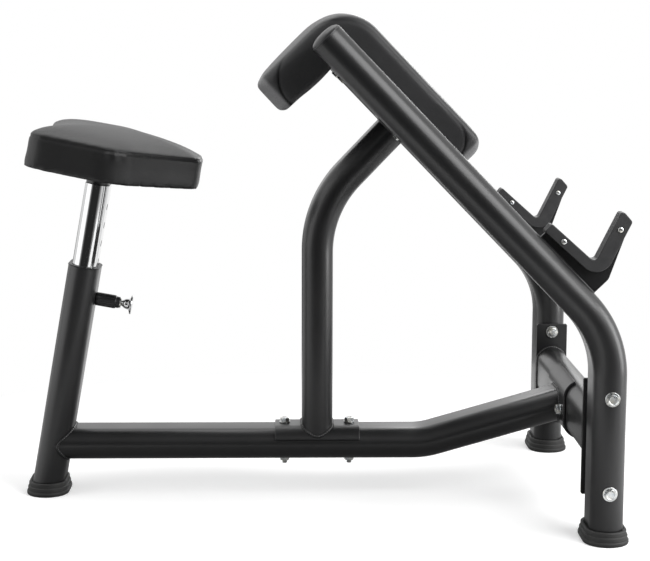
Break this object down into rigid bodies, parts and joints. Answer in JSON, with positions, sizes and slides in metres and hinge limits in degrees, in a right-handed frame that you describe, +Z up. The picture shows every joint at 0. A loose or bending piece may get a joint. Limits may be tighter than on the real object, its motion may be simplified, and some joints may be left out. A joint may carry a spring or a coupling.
{
  "type": "preacher bench",
  "caption": "Preacher curl bench: angled arm and chest pad on a bent oval-tube frame, with a height-adjustable seat, pull pin and bar catches.",
  "frame": {"origin": "on the floor, under the middle of the bench's length and width", "axes": "+X the way the sitter faces, from the seat to the legs with the bar catches; +Y the sitter's left; +Z up"},
  "size_m": [1.1152, 0.803, 0.9318],
  "materials": {
    "powder_coat": "black powder coat, fine texture, semi-gloss",
    "vinyl": "black upholstery vinyl with a fine leather grain",
    "rubber": "matte black rubber",
    "moulded_black": "moulded black plastic, satin",
    "liner_black": "matte black polymer",
    "chrome": "bright chrome plate",
    "zinc": "bright zinc plate",
    "plywood": "plywood lined with black non-woven cloth"
  },
  "bodies": {
    "frame": {"sleeve_tube": "powder_coat", "main_beam": "powder_coat", "beam_saddle": "powder_coat", "centre_post": "powder_coat", "post_saddle": "powder_coat", "cross_tube": "powder_coat", "right_leg_bracket": "powder_coat", "left_leg_bracket": "powder_coat", "right_leg_tube": "powder_coat", "left_leg_tube": "powder_coat", "upper_pad_rail": "powder_coat", "lower_pad_rail": "powder_coat", "right_catch_plate": "powder_coat", "left_catch_plate": "powder_coat", "pad_cushion": "vinyl", "right_foot_cap": "rubber", "left_foot_cap": "rubber", "rear_foot_cap": "rubber", "right_end_plug": "moulded_black", "left_end_plug": "moulded_black", "sleeve_bush": "moulded_black", "pin_barrel": "moulded_black", "right_catch_liner": "liner_black", "left_catch_liner": "liner_black", "right_back_catch_screw": "zinc", "right_hook_catch_screw": "zinc", "left_back_catch_screw": "zinc", "left_hook_catch_screw": "zinc", "rear_post_bolt": "zinc", "front_post_bolt": "zinc", "rear_post_nut": "zinc", "front_post_nut": "zinc", "right_beam_bolt": "zinc", "left_beam_bolt": "zinc", "right_upper_leg_bolt": "zinc", "right_lower_leg_bolt": "zinc", "left_upper_leg_bolt": "zinc", "left_lower_leg_bolt": "zinc", "right_upper_leg_nut": "zinc", "right_lower_leg_nut": "zinc", "left_upper_leg_nut": "zinc", "left_lower_leg_nut": "zinc", "right_upper_pad_bolt": "zinc", "right_lower_pad_bolt": "zinc", "left_upper_pad_bolt": "zinc", "left_lower_pad_bolt": "zinc", "barrel_nut": "zinc", "pin_spring": "zinc", "arm_board": "plywood", "chest_board": "plywood"},
    "seat": {"seat_post": "chrome", "post_guide": "moulded_black", "seat_mount": "powder_coat", "seat_board": "plywood", "seat_cushion": "vinyl", "right_seat_bolt": "zinc", "left_seat_bolt": "zinc"},
    "pin": {"plunger": "zinc", "pull_knob": "chrome"}
  },
  "joints": [
    {"name": "seat_slide", "type": "slide", "parent": "frame", "child": "seat", "axis": [0.1778, 0, 0.9841], "range_m": [-0.144, 0]},
    {"name": "pin_pull", "type": "slide", "parent": "frame", "child": "pin", "axis": [0.9841, 0, -0.1778], "range_m": [0, 0.012], "stiffness_N_per_m": 1500, "springref_m": -0.012, "deforming": ["pin_spring"]}
  ]
}
